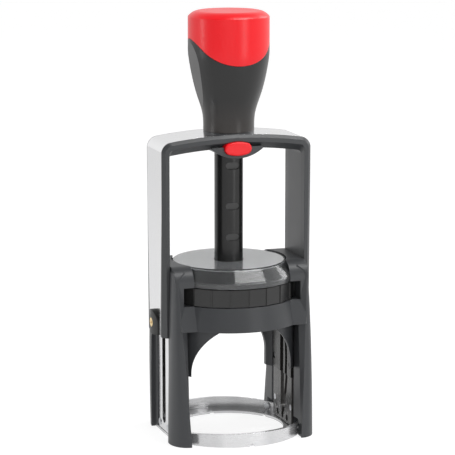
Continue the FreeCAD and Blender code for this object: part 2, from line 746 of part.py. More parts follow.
def bow_frame():
    arch = bow_blank().cut(bow_opening() + arm_bevels())
    body = union([arch, hub(), rod_z(COLLAR_RADIUS, 133.0, GRIP_BOTTOM - 0.15)])
    strap_seat = bow_outline(-5, -20, 20).cut(bow_outline(STRAP_THICKNESS + 0.05, -21, 21))
    strap_seat = strap_seat.common(strap_band(0.05)).cut(rod_z(COLLAR_RADIUS, 100, 160))
    cuts = [strap_seat, rod_z(COLUMN_RADIUS + 0.08, 100, 160)]
    cuts += button_space()
    cuts += [rod_x(PIN_RADIUS + 0.02, x, x + 10, 0, PIVOT_Z) for x in (-40, 30)]
    return body.cut(cuts)


def button_outline(grow, y0, y1):
    """The lock button's outline seen along Y: round ends and gently bowed long sides."""
    end, edge = 4.3, 2.55 + grow
    half_width, half_height = BUTTON_HALF_WIDTH + grow, BUTTON_HALF_HEIGHT + grow
    low, high = BUTTON_Z - edge, BUTTON_Z + edge
    edges = [
        arc((-end, y0, high), (0, y0, BUTTON_Z + half_height), (end, y0, high)),
        arc((end, y0, high), (half_width, y0, BUTTON_Z), (end, y0, low)),
        arc((end, y0, low), (0, y0, BUTTON_Z - half_height), (-end, y0, low)),
        arc((-end, y0, low), (-half_width, y0, BUTTON_Z), (-end, y0, high)),
    ]
    return solid_from(edges, (0, y1 - y0, 0))


def button_space():
    pocket = button_outline(0.12, -20, -8.2)
    half = LATCH_HALF + 0.08
    slot = box(-half, half, -9, -5.0, LATCH_Z - 1.08, LATCH_Z + 1.08)
    return [pocket, slot]


def strap(side):
    shell = bow_outline(0, -20, 20).cut(bow_outline(STRAP_THICKNESS, -21, 21))
    body = shell.common(strap_band(0))
    half = box(0.5, 60, -20, 20, BOW_BOTTOM, 160)
    body = body.common(half).cut([rod_z(COLLAR_RADIUS + 0.05, 100, 160), boss_outline(30, 40, 0.05)])
    return body if side > 0 else mirror_x(body)


def pivot_boss(side):
    bulge_radius = 11.5
    bulge = rod_z(bulge_radius, 40, 70, BOW_HALF + 2.0 - bulge_radius, 0)
    low_x = BOW_HALF - STRAP_THICKNESS - 0.04
    body = boss_outline(low_x, 45, 0).common(bulge)
    body = body.cut(rod_x(PIN_RADIUS + 0.02, 20, 50, 0, PIVOT_Z))
    return body if side > 0 else mirror_x(body)


def pivot_pin(side):
    end = BOW_HALF + 1.9
    shank = rod_x(PIN_RADIUS, 22.7, end, 0, PIVOT_Z)
    dimple = rod_x(0.7, end - 0.6, end + 1, 0, PIVOT_Z)
    body = shank.cut(dimple)
    return body if side > 0 else mirror_x(body)


def grip_edge():
    """The grip's waisted outside, as a smooth curve from the neck to the head."""
    curve = Part.BSplineCurve()
    curve.interpolate(
        Points=[Vector(r, 0, z) for r, z in GRIP_WAIST],
        InitialTangent=Vector(0, 0, 1),
        FinalTangent=Vector(0, 0, 1),
    )
    return curve.toShape()


def head_solid():
    """The whole outside of the grip and cap."""
    grip_top = (GRIP_TOP_RADIUS, 0, GRIP_WAIST[-1][1])
    bevel_start = (GRIP_TOP_RADIUS, 0, CAP_WALL_TOP)
    bevel_middle = (16.5, 0, 191.35)
    face_edge = (CAP_FACE_RADIUS, 0, CAP_TOP)
    edges = [
        line((0, 0, GRIP_BOTTOM), (GRIP_NECK_RADIUS, 0, GRIP_BOTTOM)),
        grip_edge(),
        line(grip_top, bevel_start),
        arc(bevel_start, bevel_middle, face_edge),
        line(face_edge, (0, 0, CAP_TOP)),
        line((0, 0, CAP_TOP), (0, 0, GRIP_BOTTOM)),
    ]
    return revolve(edges)


def saddle(gap, upper):
    """The half space above or below the swept seam between grip and cap."""
    far = 210.0 if upper else 100.0
    rear = [Vector(-30, y, z + gap) for y, z in CAP_SEAM]
    front = [Vector(-30, -y, z + gap) for y, z in CAP_SEAM[1:]]
    seam = front[::-1] + rear
    curve = Part.BSplineCurve()
    curve.interpolate(seam)
    side, ends = seam[-1].y + 3.0, seam[-1].z - 2.2
    edges = [
        line((-30, -side, ends), seam[0]),
        curve.toShape(),
        line(seam[-1], (-30, side, ends)),
        line((-30, side, ends), (-30, side, far)),
        line((-30, side, far), (-30, -side, far)),
        line((-30, -side, far), (-30, -side, ends)),
    ]
    return solid_from(edges, (60, 0, 0))


def side_flat():
    """The space outside the long flat on the +X side of the grip, seen along Y."""
    points = [Vector(x, -30, z) for x, z in SIDE_FLAT]
    curve = Part.BSplineCurve()
    curve.interpolate(points)
    top, bottom = points[0], points[-1]
    far = 40.0
    edges = [
        curve.toShape(),
        Part.makeLine(bottom, Vector(far, -30, bottom.z)),
        Part.makeLine(Vector(far, -30, bottom.z), Vector(far, -30, top.z)),
        Part.makeLine(Vector(far, -30, top.z), top),
    ]
    return solid_from(edges, (0, 60, 0))


def handle_grip():
    outside = head_solid().common(saddle(0, False)).cut(both_sides(side_flat()))
    spigot = rod_z(GRIP_SPIGOT_RADIUS, 150, 184.5)
    bore = rod_z(HANDLE_BORE, 100, 200)
    return union([outside, spigot]).cut(bore)


def handle_cap():
    outside = head_solid().common(saddle(0.15, True))
    socket = rod_z(GRIP_SPIGOT_RADIUS + 0.02, 100, 184.7)
    seat_bore = rod_z(HANDLE_BORE + 0.02, 100, 187.0)
    return outside.cut([socket, seat_bore])


def spring_seat():
    """The upper spring seat, with the rod that keeps the spring straight."""
    disc = rod_z(HANDLE_BORE, SPRING_TOP + 0.05, 187.0)
    rod = rod_z(2.5, 131.0, SPRING_TOP + 1)
    return union([disc, rod])


def return_spring():
    height = SPRING_TOP - SPRING_BOTTOM - 2 * SPRING_WIRE
    helix = Part.makeHelix(height / SPRING_TURNS, height, SPRING_RADIUS)
    helix.translate(Vector(0, 0, SPRING_BOTTOM + SPRING_WIRE))
    start = Vector(SPRING_RADIUS, 0, SPRING_BOTTOM + SPRING_WIRE)
    section = Part.Wire([Part.makeCircle(SPRING_WIRE, start, Vector(0, 1, 0))])
    return Part.Wire(helix.Edges).makePipeShell([section], True, True)


def lock_button():
    body = button_outline(0, BUTTON_FACE_Y, -9.9)
    rim = [e for e in body.Edges if all(abs(v.Y - BUTTON_FACE_Y) < 0.01 for v in e.Vertexes)]
    return body.makeFillet(0.9, rim)


def lock_latch():
    half = LATCH_HALF
    return box(-half, half, -9.88, -COLUMN_RADIUS - 0.2, LATCH_Z - 1.0, LATCH_Z + 1.0)


# ---------------------------------------------------------------- die carrier


def at_pivot(shape):
    shape.translate(Vector(0, 0, PIVOT_Z))
    return shape


def band_window(half_x, half_y):
    return box(-half_x, half_x, -half_y, half_y, -20, 20)


def carrier_frame():
    low, high = CARRIER_PLATE
    plate = rod_z(22.4, low, high)
    shapes = [plate]
    for sx in (-1, 1):
        x0, x1 = sorted((sx * CHEEK_X[0], sx * CHEEK_X[1]))
        bar_x = sorted((sx * 15.0, sx * CHEEK_X[1]))
        shapes.append(box(*bar_x, -CHEEK_HALF_Y, CHEEK_HALF_Y, low, high))
        shapes.append(rod_x(CHEEK_RADIUS, x0, x1, 0, 0))
        sides = [(x0, -CHEEK_RADIUS, 0), (x0, -CHEEK_HALF_Y, low), (x0, CHEEK_HALF_Y, low)]
        shapes.append(polygon_prism(sides + [(x0, CHEEK_RADIUS, 0)], (x1 - x0, 0, 0)))
    body = union(shapes)
    cuts = [band_window(12.0, 3.8)]
    cuts += [rod_x(PIN_BORE, x, x + 8, 0, 0) for x in (-28, 20)]
    cuts += [rod_x(FOLLOWER_RADIUS + 0.01, x, x + 4, 0, FOLLOWER_OFFSET) for x in (-27.5, 23.5)]
    cuts += [rod_z(0.72, low - 1, high - 0.3, x, 0) for x in (-14.0, 14.0)]
    return at_pivot(body.cut(cuts))


def cam_followers():
    pins = [rod_x(FOLLOWER_RADIUS, x, x + 4.5, 0, FOLLOWER_OFFSET) for x in (-28.1, 23.6)]
    return at_pivot(Part.makeCompound(pins))


def die_plate():
    plate = rod_z(DIE_RADIUS, CARRIER_PLATE[1] + 0.01, DIE_PLATE_TOP)
    return at_pivot(plate.cut(band_window(12.1, 3.8)))


def text_plate():
    """The rubber die: a thin sheet with plain raised rings, bars and a frame for the date."""
    sheet = rod_z(DIE_RADIUS, DIE_PLATE_TOP + 0.01, TEXT_FLOOR)
    low = TEXT_FLOOR - 0.1
    relief = [tube_z(DIE_RADIUS, DIE_RADIUS - 0.8, low, DIE_HEIGHT)]
    relief.append(tube_z(15.2, 14.7, low, DIE_HEIGHT))
    for i in range(24):
        bar = box(16.8, 19.8, -0.5, 0.5, low, DIE_HEIGHT)
        bar.rotate(Vector(0, 0, 0), Vector(0, 0, 1), 15 * i + 7.5)
        relief.append(bar)
    frame = box(-12.0, 12.0, -4.6, 4.6, low, DIE_HEIGHT).cut(box(-11.5, 11.5, -4.1, 4.1, 0, 20))
    body = union([sheet, frame] + relief)
    return at_pivot(body.cut(band_window(BRACKET_X[0] + 0.2, 3.3)))


def band_bridge():
    """The metal bracket that holds the wheels' axle and the nose the bands run over."""
    nose_end = BRACKET_X[0] + 0.1
    parts = [rod_x(NOSE_RADIUS, -nose_end, nose_end, 0, NOSE_Z - 0.05)]
    for sx in (-1, 1):
        x0, x1 = sorted((sx * BRACKET_X[0], sx * BRACKET_X[1]))
        parts.append(belt_outline(AXLE_Z, 3.0, NOSE_Z - 0.8, 2.0, x0, x1))
        foot_x = sorted((sx * BRACKET_X[0], sx * 16.5))
        parts.append(box(*foot_x, -2.9, 2.9, 4.5, CARRIER_PLATE[0] - 0.01))
    body = union(parts)
    holes = [rod_x(AXLE_RADIUS + 0.02, -20, 20, 0, AXLE_Z)]
    holes += [rod_z(0.72, 0, 5.7, x, 0) for x in (-14.0, 14.0)]
    return at_pivot(body.cut(holes))


def bridge_screws():
    screws = [
        union([rod_z(0.7, 4.0, 7.2, x, 0), rod_z(1.4, 3.6, 4.48, x, 0)]) for x in (-14.0, 14.0)
    ]
    return at_pivot(Part.makeCompound(screws))


def setting_axle():
    half = BRACKET_X[1] + 0.5
    return at_pivot(rod_x(AXLE_RADIUS, -half, half, 0, AXLE_Z))


def band_centre(index):
    return (index - (len(BAND_NAMES) - 1) / 2) * BAND_PITCH


def date_band(index):
    """A rubber band round the nose and its wheel, with raised type blocks on its face."""
    x0 = band_centre(index) - BAND_WIDTH / 2
    x1 = x0 + BAND_WIDTH
    inner_low, inner_high = WHEEL_HUB_RADIUS + 0.1, NOSE_RADIUS + 0.05
    outer = belt_outline(AXLE_Z, inner_low + BAND_THICKNESS, NOSE_Z, inner_high + BAND_THICKNESS, x0, x1)
    inner = belt_outline(AXLE_Z, inner_low, NOSE_Z, inner_high, x0 - 1, x1 + 1)
    top = NOSE_Z + inner_high + BAND_THICKNESS
    block = box(x0 + 0.6, x1 - 0.6, -1.1, 1.1, top - 0.35, DIE_HEIGHT)
    return at_pivot(union([outer.cut(inner), block]))


def setting_wheel(index):
    centre = band_centre(index)
    hub_x = (centre - BAND_WIDTH / 2 - 0.1, centre + BAND_WIDTH / 2)
    body = rod_x(WHEEL_HUB_RADIUS, *hub_x, 0, AXLE_Z)
    rim = rod_x(WHEEL_RIM_RADIUS, hub_x[0] - WHEEL_RIM_WIDTH, hub_x[0], 0, AXLE_Z)
    body = union([body, rim])
    teeth = 20
    cuts = [rod_x(AXLE_RADIUS + 0.05, -20, 20, 0, AXLE_Z)]
    for i in range(teeth):
        a = 2 * math.pi * i / teeth
        y = WHEEL_RIM_RADIUS * math.cos(a)
        z = AXLE_Z + WHEEL_RIM_RADIUS * math.sin(a)
        cuts.append(rod_x(0.35, hub_x[0] - 1, hub_x[0] + 0.01, y, z))
    return at_pivot(body.cut(cuts))


# ---------------------------------------------------------------- write


def build_all():
    parts = {
        "base_housing": base_housing(),
        "base_ring": base_ring(),
        "ring_screws": ring_screws(),
        "cam_plate_left": cam_plate(-1),
        "cam_plate_right": cam_plate(1),
        "side_plate_left": side_plate(-1),
        "side_plate_right": side_plate(1),
        "cam_screws": cam_screws(),
        "plate_rivets": plate_rivets(),
        "guide_column": guide_column(),
        "column_screws": column_screws(),
        "index_label": index_label(),
        "index_window": index_window(),
        "return_spring": return_spring(),
        "pad_cartridge": pad_cartridge(),
        "ink_pad": ink_pad(),
        "bow_frame": bow_frame(),
        "strap_left": strap(-1),
        "strap_right": strap(1),
        "pivot_boss_left": pivot_boss(-1),
        "pivot_boss_right": pivot_boss(1),
        "pivot_pin_left": pivot_pin(-1),
        "pivot_pin_right": pivot_pin(1),
        "handle_grip": handle_grip(),
        "handle_cap": handle_cap(),
        "spring_seat": spring_seat(),
        "lock_button": lock_button(),
        "lock_latch": lock_latch(),
        "carrier_frame": carrier_frame(),
        "cam_followers": cam_followers(),
        "die_plate": die_plate(),
        "text_plate": text_plate(),
        "band_bridge": band_bridge(),
        "bridge_screws": bridge_screws(),
        "setting_axle": setting_axle(),
    }
    for index, name in enumerate(BAND_NAMES):
        parts[f"{name}_band"] = date_band(index)
        parts[f"{name}_wheel"] = setting_wheel(index)
    return parts


os.makedirs("parts", exist_ok=True)
for node, shape in build_all().items():
    shape.exportStep(f"parts/{node}.step")
    print(node, len(shape.Solids), shape.isValid(), round(shape.Volume, 1))
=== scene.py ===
"""Looks for the rotary date stamp: materials, the foam pad and spring, stage, lights and camera.

Metres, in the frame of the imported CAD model: +Z up, -Y the front, origin at the base ring's centre.
"""

import json
import math

import bmesh
import bpy
from mathutils import Matrix, Vector


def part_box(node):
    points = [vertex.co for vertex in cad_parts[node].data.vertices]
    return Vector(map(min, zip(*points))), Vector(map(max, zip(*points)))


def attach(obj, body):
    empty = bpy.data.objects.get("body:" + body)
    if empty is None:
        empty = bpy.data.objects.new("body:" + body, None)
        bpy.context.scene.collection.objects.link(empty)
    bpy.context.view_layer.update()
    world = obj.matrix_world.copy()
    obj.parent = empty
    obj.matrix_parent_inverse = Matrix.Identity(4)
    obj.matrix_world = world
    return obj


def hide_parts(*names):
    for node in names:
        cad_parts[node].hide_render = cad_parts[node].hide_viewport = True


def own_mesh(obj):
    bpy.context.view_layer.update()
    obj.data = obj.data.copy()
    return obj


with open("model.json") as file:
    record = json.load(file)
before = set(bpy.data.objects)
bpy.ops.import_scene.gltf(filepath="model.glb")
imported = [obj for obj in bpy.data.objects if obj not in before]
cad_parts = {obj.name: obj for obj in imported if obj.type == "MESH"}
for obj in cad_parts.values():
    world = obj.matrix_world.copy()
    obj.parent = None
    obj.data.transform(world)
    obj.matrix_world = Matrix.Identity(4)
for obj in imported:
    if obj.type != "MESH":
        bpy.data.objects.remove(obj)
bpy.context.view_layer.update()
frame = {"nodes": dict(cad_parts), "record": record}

MM = 0.001

# Camera: the photograph's viewing direction and a long lens
CAMERA_AZIMUTH = 18.2
CAMERA_TURN = 0.03
CAMERA_PITCH = 10.6
CAMERA_DISTANCE = 1.0153
CAMERA_HEIGHT = 0.2838
CAMERA_LENS = 180.2
CAMERA_SENSOR = 36.0

# Where painted shade, highlight and reflection mark parts of a CAD piece apart from the rest of it
COLUMN_RADIUS = 6.5 * MM
CAM_LAND_BOTTOM = 24.5 * MM
DECK_RADIUS = 28.85 * MM
DECK_HALF_WIDTH = 22.55 * MM
DECK_FLOOR_Z = 71.5 * MM
NECK_HEIGHT = 15.0 * MM

# Lamps point here, at about half the object's height
LIGHT_AIM = Vector((0, 0, 0.09))

# The studio's brightness from in front of the object, at 0, to behind it, at 1
STUDIO_TONES = ((0.0, 0.10), (0.25, 0.16), (0.46, 0.90), (0.55, 1.0), (0.9, 1.0), (1.0, 0.84))


# ---------------------------------------------------------------- node helpers


def set_inputs(tree, node, inputs):
    """Give each named or numbered input its value, or join it to another node's output."""
    for key, value in inputs.items():
        if isinstance(value, bpy.types.NodeSocket):
            tree.links.new(value, node.inputs[key])
        else:
            node.inputs[key].default_value = value


def add_node(tree, kind, inputs=None, **settings):
    node = tree.nodes.new(kind)
    for key, value in settings.items():
        setattr(node, key, value)
    set_inputs(tree, node, inputs or {})
    return node


def add_range(tree, value, low, high, start=0.0, end=1.0):
    """A number that goes from low to high while value goes from start to end."""
    inputs = {"Value": value, "From Min": start, "From Max": end, "To Min": low, "To Max": high}
    return add_node(tree, "ShaderNodeMapRange", inputs).outputs["Result"]


def opaque(color):
    """A colour with its alpha; another node's output is left as it is."""
    return color if isinstance(color, bpy.types.NodeSocket) else (*color, 1)


class Shader:
    """A material under construction. Its calls add nodes and return the last node's output."""

    def __init__(self, name):
        self.name = name
        self.material = bpy.data.materials.new(name)
        self.material.use_nodes = True
        self.tree = self.material.node_tree
        self.tree.nodes.clear()
        self.bsdf = self.add("ShaderNodeBsdfPrincipled")
        self.add("ShaderNodeOutputMaterial", {"Surface": self.bsdf.outputs["BSDF"]})
        self.place = self.add("ShaderNodeTexCoord").outputs["Object"]

    def add(self, kind, inputs=None, **settings):
        return add_node(self.tree, kind, inputs, **settings)

    def feed(self, inputs):
        """Set or join the inputs of the material's main shader."""
        set_inputs(self.tree, self.bsdf, inputs)

    def paint(self, mask, color):
        """Lay a colour over the base colour where the mask is white."""
        base = self.bsdf.inputs["Base Color"].links[0].from_socket
        self.feed({"Base Color": self.mix(mask, base, color)})

    def scaled_place(self, stretch):
        return self.add("ShaderNodeMapping", {"Vector": self.place, "Scale": stretch}).outputs["Vector"]

    def noise(self, scale, detail=3.0, roughness=0.5, stretch=(1, 1, 1)):
        place = self.scaled_place(stretch)
        inputs = {"Vector": place, "Scale": scale, "Detail": detail, "Roughness": roughness}
        return self.add("ShaderNodeTexNoise", inputs).outputs["Fac"]

    def remap(self, value, low, high, start=0.0, end=1.0):
        return add_range(self.tree, value, low, high, start, end)

    def mix(self, factor, a, b):
        """A colour between a and b, each of them a colour or another node's output."""
        inputs = {"Factor": factor, "A": opaque(a), "B": opaque(b)}
        return self.add("ShaderNodeMix", inputs, data_type="RGBA").outputs["Result"]

    def calculate(self, operation, a, b=0.0):
        return self.add("ShaderNodeMath", {0: a, 1: b}, operation=operation).outputs["Value"]

    def bump(self, height, strength, distance, normal=None):
        inputs = {"Height": height, "Strength": strength, "Distance": distance}
        if normal is not None:
            inputs["Normal"] = normal
        return self.add("ShaderNodeBump", inputs).outputs["Normal"]

    def soft_edges(self, radius):
        """The surface normal with sharp edges rounded off."""
        return self.add("ShaderNodeBevel", {"Radius": radius}, samples=6).outputs["Normal"]

    def edge_mask(self, radius):
        """White along sharp edges, where the true and the rounded-off normal part."""
        inputs = {0: self.soft_edges(radius), 1: self.add("ShaderNodeNewGeometry").outputs["Normal"]}
        alike = self.add("ShaderNodeVectorMath", inputs, operation="DOT_PRODUCT").outputs["Value"]
        return self.remap(self.calculate("SUBTRACT", 1.0, alike), 0.0, 1.0, 0.02, 0.25)

    def xyz(self):
        """The surface point's three coordinates at rest."""
        split = self.add("ShaderNodeSeparateXYZ", {"Vector": self.place})
        return [split.outputs[axis] for axis in "XYZ"]

    def radius(self):
        """The surface point's distance from the object's upright centre line."""
        flat = self.add("ShaderNodeVectorMath", {0: self.place, 1: (1, 1, 0)}, operation="MULTIPLY")
        inputs = {0: flat.outputs["Vector"]}
        return self.add("ShaderNodeVectorMath", inputs, operation="LENGTH").outputs["Value"]


# ---------------------------------------------------------------- materials


def moulded_plastic(
    name, dark, light, roughness, grain=900.0, grain_depth=0.2, edge=0.3 * MM, edge_light_and_wear=0.4, edge_gain=2.6
):
    """Moulded plastic: fine spark texture, slow tone drift, and edges lighter or darker by edge_gain: a
    painted edge highlight with some edge wear, or painted shade along grooves.
    """
    s = Shader(name)
    drift = s.mix(s.noise(14.0, 2.0), dark, light)
    edge_light_color = [min(1.0, c * edge_gain) for c in light]
    smudge = s.noise(55.0, 4.0, 0.6)
    fine = s.noise(grain, 2.0, 0.6)
    s.feed({
        # Painted highlight along sharp edges, partly edge wear; where edge_gain is below one, painted shade
        # along the grooves instead.
        "Base Color": s.mix(s.remap(s.edge_mask(edge), 0.0, edge_light_and_wear), drift, edge_light_color),
        "Roughness": s.remap(smudge, roughness - 0.06, roughness + 0.08),
        "Normal": s.bump(fine, grain_depth, 0.04 * MM, s.soft_edges(edge)),
        "IOR": 1.5,
    })
    return s


def neck_painted_reflection(s):
    """A faint brown cast in the lower part of the grip: a painted reflection, fading out upward."""
    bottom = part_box("guide_column")[1][2]
    height = s.xyz()[2]
    # Painted reflection: a lighter brown on the neck, strongest at its bottom.
    s.paint(s.remap(height, 0.55, 0.0, bottom, bottom + NECK_HEIGHT), (0.052, 0.043, 0.038))
    return s


def deck_in_painted_shade(s):
    """Painted shade: the deck under the clear cover is painted near black, unlike the rest of the housing,
    for the shade inside the cover.
    """
    x, _, z = s.xyz()
    blur = 0.05 * MM
    inside = s.remap(s.radius(), 1.0, 0.0, DECK_RADIUS - blur, DECK_RADIUS + blur)
    between = s.remap(s.calculate("ABSOLUTE", x), 1.0, 0.0, DECK_HALF_WIDTH - blur, DECK_HALF_WIDTH + blur)
    above = s.remap(z, 0.0, 1.0, DECK_FLOOR_Z - 2 * blur, DECK_FLOOR_Z + 2 * blur)
    deck = s.calculate("MULTIPLY", s.calculate("MULTIPLY", inside, between), above)
    # Painted shade on the deck inside the cover.
    s.paint(deck, (0.004, 0.004, 0.005))
    return s


def notched_column(name):
    """Dark column plastic whose notch floors are painted lighter, a painted highlight where the light catches
    them.
    """
    s = moulded_plastic(name, (0.010,) * 3, (0.014,) * 3, 0.24, 1000.0, 0.01, 0.12 * MM, 0.0)
    deep = s.remap(s.radius(), 1.0, 0.0, COLUMN_RADIUS - 0.45 * MM, COLUMN_RADIUS - 0.15 * MM)
    front = s.remap(s.xyz()[1], 1.0, 0.0, -4.0 * MM, -3.0 * MM)
    floors = s.calculate("MULTIPLY", deep, front)
    # Painted highlight on the notch floors.
    s.paint(s.remap(floors, 0.0, 0.9), (0.045, 0.045, 0.045))
    return s


def polished_steel(name, tone, roughness, stretch=(1, 1, 1), metallic=1.0):
    """Polished or brushed metal: fine scratches, long where stretched, and faint smears."""
    s = Shader(name)
    scratches = s.noise(420.0, 5.0, 0.65, stretch)
    smear = s.noise(22.0, 3.0)
    s.feed({
        "Base Color": s.mix(smear, [c * 0.94 for c in tone], tone),
        "Metallic": metallic,
        "Roughness": s.remap(scratches, roughness * 0.6, roughness * 1.5),
        "Normal": s.bump(scratches, 0.06, 0.02 * MM, s.soft_edges(0.15 * MM)),
    })
    return s


def cam_metal(name):
    """Cast plate, with painted shade above the lower edge of its raised land, brighter below."""
    s = polished_steel(name, (0.06, 0.058, 0.056), 0.26, (1, 1, 0.2), 0.3)
    height = s.xyz()[2]
    upper_plate_shade = s.remap(height, 0.0, 0.92, CAM_LAND_BOTTOM - 0.2 * MM, CAM_LAND_BOTTOM + 0.2 * MM)
    # Painted shade on the plate above the land's lower edge.
    s.paint(upper_plate_shade, (0.012, 0.011, 0.010))
    return s


def turned_ring(name):
    """The turned base ring: bright metal whose polish varies slowly along its length."""
    s = polished_steel(name, (0.86, 0.86, 0.87), 0.26, (0.06, 0.06, 1), 0.8)
    bands = s.noise(38.0, 2.0, 0.5, (1, 1, 0.1))
    s.paint(s.remap(bands, 0.0, 0.6, 0.42, 0.66), (0.42, 0.42, 0.43))
    return s


def clear_cover(name):
    """Clear moulded plastic: mostly see-through, with a softly polished skin and faint haze."""
    s = Shader(name)
    haze = s.noise(40.0, 3.0)
    ripple = s.noise(70.0, 1.0)
    s.feed({
        "Base Color": (0.80, 0.815, 0.825, 1),
        "Transmission Weight": 0.97,
        "IOR": 1.45,
        "Roughness": s.remap(haze, 0.08, 0.15),
        "Normal": s.bump(ripple, 0.03, 0.05 * MM, s.soft_edges(0.6 * MM)),
    })
    return s


def printed_card(name):
    """The card under the clear cover: light grey, with a faint paper tooth."""
    s = Shader(name)
    tooth = s.noise(1300.0, 4.0, 0.7)
    s.feed({
        "Base Color": s.mix(tooth, (0.50, 0.505, 0.51), (0.56, 0.565, 0.57)),
        "Roughness": s.remap(tooth, 0.5, 0.65),
        "Normal": s.bump(tooth, 0.15, 0.02 * MM),
    })
    return s


def rubber(name, dark, light):
    """Matte rubber with a powdery bloom."""
    s = Shader(name)
    bloom = s.noise(160.0, 5.0, 0.65)
    fine = s.noise(1500.0, 2.0)
    s.feed({
        "Base Color": s.mix(bloom, dark, light),
        "Roughness": s.remap(bloom, 0.6, 0.8),
        "Normal": s.bump(fine, 0.2, 0.02 * MM, s.soft_edges(0.1 * MM)),
    })
    return s


def ink_foam(name):
    """Ink-soaked pad foam: open cells and a damp sheen."""
    s = Shader(name)
    inputs = {"Vector": s.scaled_place((1, 1, 1)), "Scale": 1100.0}
    cells = s.add("ShaderNodeTexVoronoi", inputs).outputs["Distance"]
    s.feed({
        "Base Color": s.mix(cells, (0.004, 0.005, 0.02), (0.012, 0.014, 0.05)),
        "Roughness": s.remap(cells, 0.35, 0.75),
        "Normal": s.bump(cells, 0.6, 0.15 * MM),
    })
    return s


def slot_materials():
    """One procedural material per material slot of the record, by the slot's name."""
    housing = moulded_plastic("housing_plastic", (0.040, 0.042, 0.045), (0.050, 0.052, 0.056), 0.42)
    grip = moulded_plastic("grip_plastic", (0.010,) * 3, (0.015,) * 3, 0.3)
    gloss_red = {"grain": 1100.0, "grain_depth": 0.05, "edge_light_and_wear": 0.0}
    # Painted shade: the cartridge's rib edges are painted dark, standing in for the shade in the grooves
    # between the ribs.
    rib_groove_shade = {"grain": 1200.0, "grain_depth": 0.02, "edge": 0.25 * MM, "edge_light_and_wear": 1.0, "edge_gain": 0.15}
    shaders = [
        deck_in_painted_shade(housing),
        moulded_plastic("bow_plastic", (0.038, 0.040, 0.043), (0.047, 0.049, 0.052), 0.36),
        neck_painted_reflection(grip),
        moulded_plastic("red_plastic", (0.84, 0.004, 0.010), (0.90, 0.006, 0.013), 0.3, **gloss_red),
        moulded_plastic("cartridge_plastic", (0.016,) * 3, (0.026,) * 3, 0.2, **rib_groove_shade),
        moulded_plastic("carrier_plastic", (0.03, 0.03, 0.032), (0.04, 0.04, 0.042), 0.45),
        moulded_plastic("wheel_plastic", (0.55, 0.54, 0.5), (0.62, 0.61, 0.57), 0.4),
        clear_cover("clear_plastic"),
        printed_card("label_card"),
        polished_steel("polished_steel", (0.82, 0.82, 0.83), 0.14, (1, 1, 0.04)),
        polished_steel("zinc_steel", (0.66, 0.67, 0.69), 0.3),
        cam_metal("cam_metal"),
        turned_ring("ring_metal"),
        polished_steel("spring_steel", (0.55, 0.55, 0.57), 0.25),
        polished_steel("brass", (0.88, 0.66, 0.3), 0.24),
        ink_foam("pad_foam"),
        rubber("die_rubber", (0.3, 0.06, 0.035), (0.38, 0.09, 0.05)),
        rubber("band_rubber", (0.02, 0.02, 0.02), (0.035, 0.035, 0.035)),
    ]
    return {s.name: s.material for s in shaders}


def dress_cad_pieces(by_slot):
    """Every CAD node wears its slot's material, apart from a few that have their own."""
    boss = moulded_plastic("boss_plastic", (0.010,) * 3, (0.014,) * 3, 0.42).material
    by_node = {
        "guide_column": notched_column("column_plastic").material,
        "pivot_boss_left": boss,
        "pivot_boss_right": boss,
    }
    for row in frame["record"]["subparts"]:
        node, slot = row["node"], row["material_slot"]
        worn = frame["nodes"][node].data.materials
        worn.clear()
        worn.append(by_node.get(node, by_slot[slot]))


# ---------------------------------------------------------------- soft and springy pieces


def closed_piece(name, rings, material):
    """A closed smooth form from rings of points, each with as many points, capped at both ends."""
    around = len(rings[0])
    faces = []
    for row in range(len(rings) - 1):
        a, b = row * around, (row + 1) * around
        for i in range(around):
            j = (i + 1) % around
            faces.append((a + i, a + j, b + j, b + i))
    last = (len(rings) - 1) * around
    faces.append(tuple(range(around)))
    faces.append(tuple(reversed(range(last, last + around))))
    mesh = bpy.data.meshes.new(name)
    mesh.from_pydata([point for ring in rings for point in ring], [], faces)
    mesh.materials.append(material)
    outward = bmesh.new()
    outward.from_mesh(mesh)
    bmesh.ops.recalc_face_normals(outward, faces=outward.faces)
    outward.to_mesh(mesh)
    outward.free()
    for face in mesh.polygons:
        face.use_smooth = True
    piece = bpy.data.objects.new(name, mesh)
    bpy.context.scene.collection.objects.link(piece)
    return piece


def pad_outline(radius, low_z, high_z):
    """Half the foam disc's section, from the middle of its top to the middle of its inked face."""
    soft = 0.9 * MM
    shares = [0.02 + 0.07 * i for i in range(13)]
    outline = [(radius * share, high_z) for share in shares] + [(radius - soft, high_z)]
    for centre_z, degrees in ((high_z - soft, range(72, -1, -18)), (low_z + soft, range(0, -91, -18))):
        for turn in map(math.radians, degrees):
            outline.append((radius - soft + soft * math.cos(turn), centre_z + soft * math.sin(turn)))
    for share in reversed(shares):
        sag = 0.35 * MM * (1 - (share / 0.9) ** 2)
        outline.append((radius * share, low_z + 0.4 * MM - sag))
    return outline


def pad_foam(material):
    """The inked foam disc: its face sags, its rim is soft and its skin is slightly uneven."""
    low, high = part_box("ink_pad")
    middle_x, middle_y = (low[0] + high[0]) / 2, (low[1] + high[1]) / 2
    around = 96
    angles = [2 * math.pi * i / around for i in range(around)]
    rings = []
    for r, z in pad_outline((high[0] - low[0]) / 2, low[2], high[2]):
        ring = []
        for angle in angles:
            ripple = 0.05 * MM * math.sin(5 * angle + 900 * r) * math.sin(1300 * r)
            ring.append((middle_x + r * math.cos(angle), middle_y + r * math.sin(angle), z + ripple))
        rings.append(ring)
    piece = closed_piece("pad_foam_disc", rings, material)
    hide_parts("ink_pad")
    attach(piece, "cartridge")


